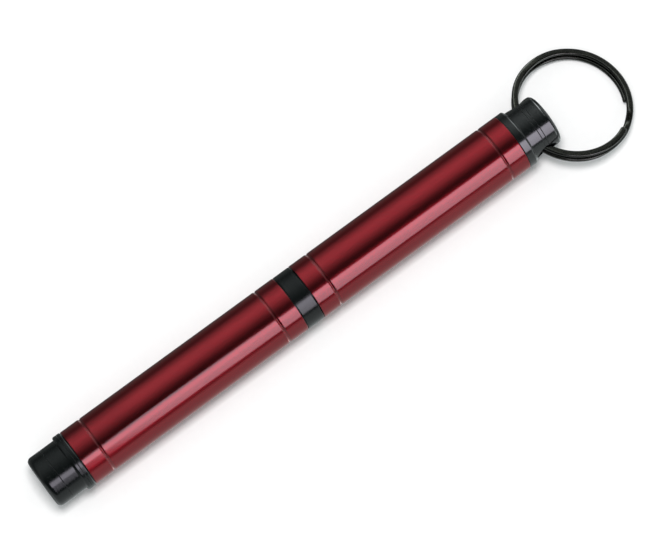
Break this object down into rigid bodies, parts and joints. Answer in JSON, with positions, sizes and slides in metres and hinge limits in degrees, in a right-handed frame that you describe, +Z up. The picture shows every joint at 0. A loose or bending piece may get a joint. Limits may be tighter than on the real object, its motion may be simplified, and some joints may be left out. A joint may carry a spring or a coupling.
{
  "type": "keyring ballpoint pen",
  "caption": "Short capped ballpoint pen in two red anodised tubes with black ends; the cap pulls off, the grip unscrews, and a split ring swings in an eye through the cap.",
  "frame": {"origin": "centre of the tail end face", "axes": "+X along the pen's axis from the tail to the key-ring end; +Z up as the pen lies on a table"},
  "size_m": [0.1095, 0.019, 0.0096],
  "materials": {
    "red_anodised": "satin red anodised",
    "black_plug": "gloss black moulded",
    "black_liner": "satin black moulded",
    "black_grip": "satin black anodised",
    "seal_rubber": "matte",
    "refill_steel": "drawn and polished",
    "refill_plastic": "moulded",
    "refill_brass": "turned",
    "tip_steel": "turned",
    "ball_carbide": "polished",
    "float_plastic": "moulded",
    "ink": "thick black ink",
    "ring_steel": "black oxide, tumbled"
  },
  "bodies": {
    "barrel": {"barrel_sleeve": "red_anodised", "tail_plug": "black_plug", "barrel_collar": "black_plug"},
    "refill": {"refill_tube": "refill_steel", "refill_end_plug": "refill_plastic", "refill_nose": "refill_brass", "writing_tip": "tip_steel", "ink_column": "ink"},
    "float": {"ink_float": "float_plastic"},
    "ball": {"writing_ball": "ball_carbide"},
    "section": {"grip_section": "black_grip", "section_o_ring": "seal_rubber"},
    "cap": {"cap_sleeve": "red_anodised", "cap_mouth_insert": "black_liner", "ring_plug": "black_plug"},
    "key_ring": {"split_ring": "ring_steel"}
  },
  "joints": [
    {"name": "refill_draw", "type": "slide", "parent": "barrel", "child": "refill", "axis": [1, 0, 0], "range_m": [0, 0.006]},
    {"name": "section_turn", "type": "hinge", "parent": "refill", "child": "section", "pos_m": [0.045, 0, 0], "axis": [1, 0, 0], "range_deg": [0, 2880]},
    {"name": "cap_pull", "type": "slide", "parent": "section", "child": "cap", "axis": [1, 0, 0], "range_m": [0, 0.042]},
    {"name": "ring_swing", "type": "hinge", "parent": "cap", "child": "key_ring", "pos_m": [0.0924, 0, 0], "axis": [0, -1, 0], "range_deg": [-145, 170]},
    {"name": "float_travel", "type": "slide", "parent": "refill", "child": "float", "axis": [1, 0, 0], "range_m": [0, 0.03], "deforming": ["ink_column"]},
    {"name": "ball_roll", "type": "hinge", "parent": "refill", "child": "ball", "pos_m": [0.08745, 0, 0], "axis": [0, 1, 0], "continuous": true}
  ],
  "couplings": [
    {"joint": "refill_draw", "follows": "section_turn", "m_per_rad": 0.00011937}
  ]
}
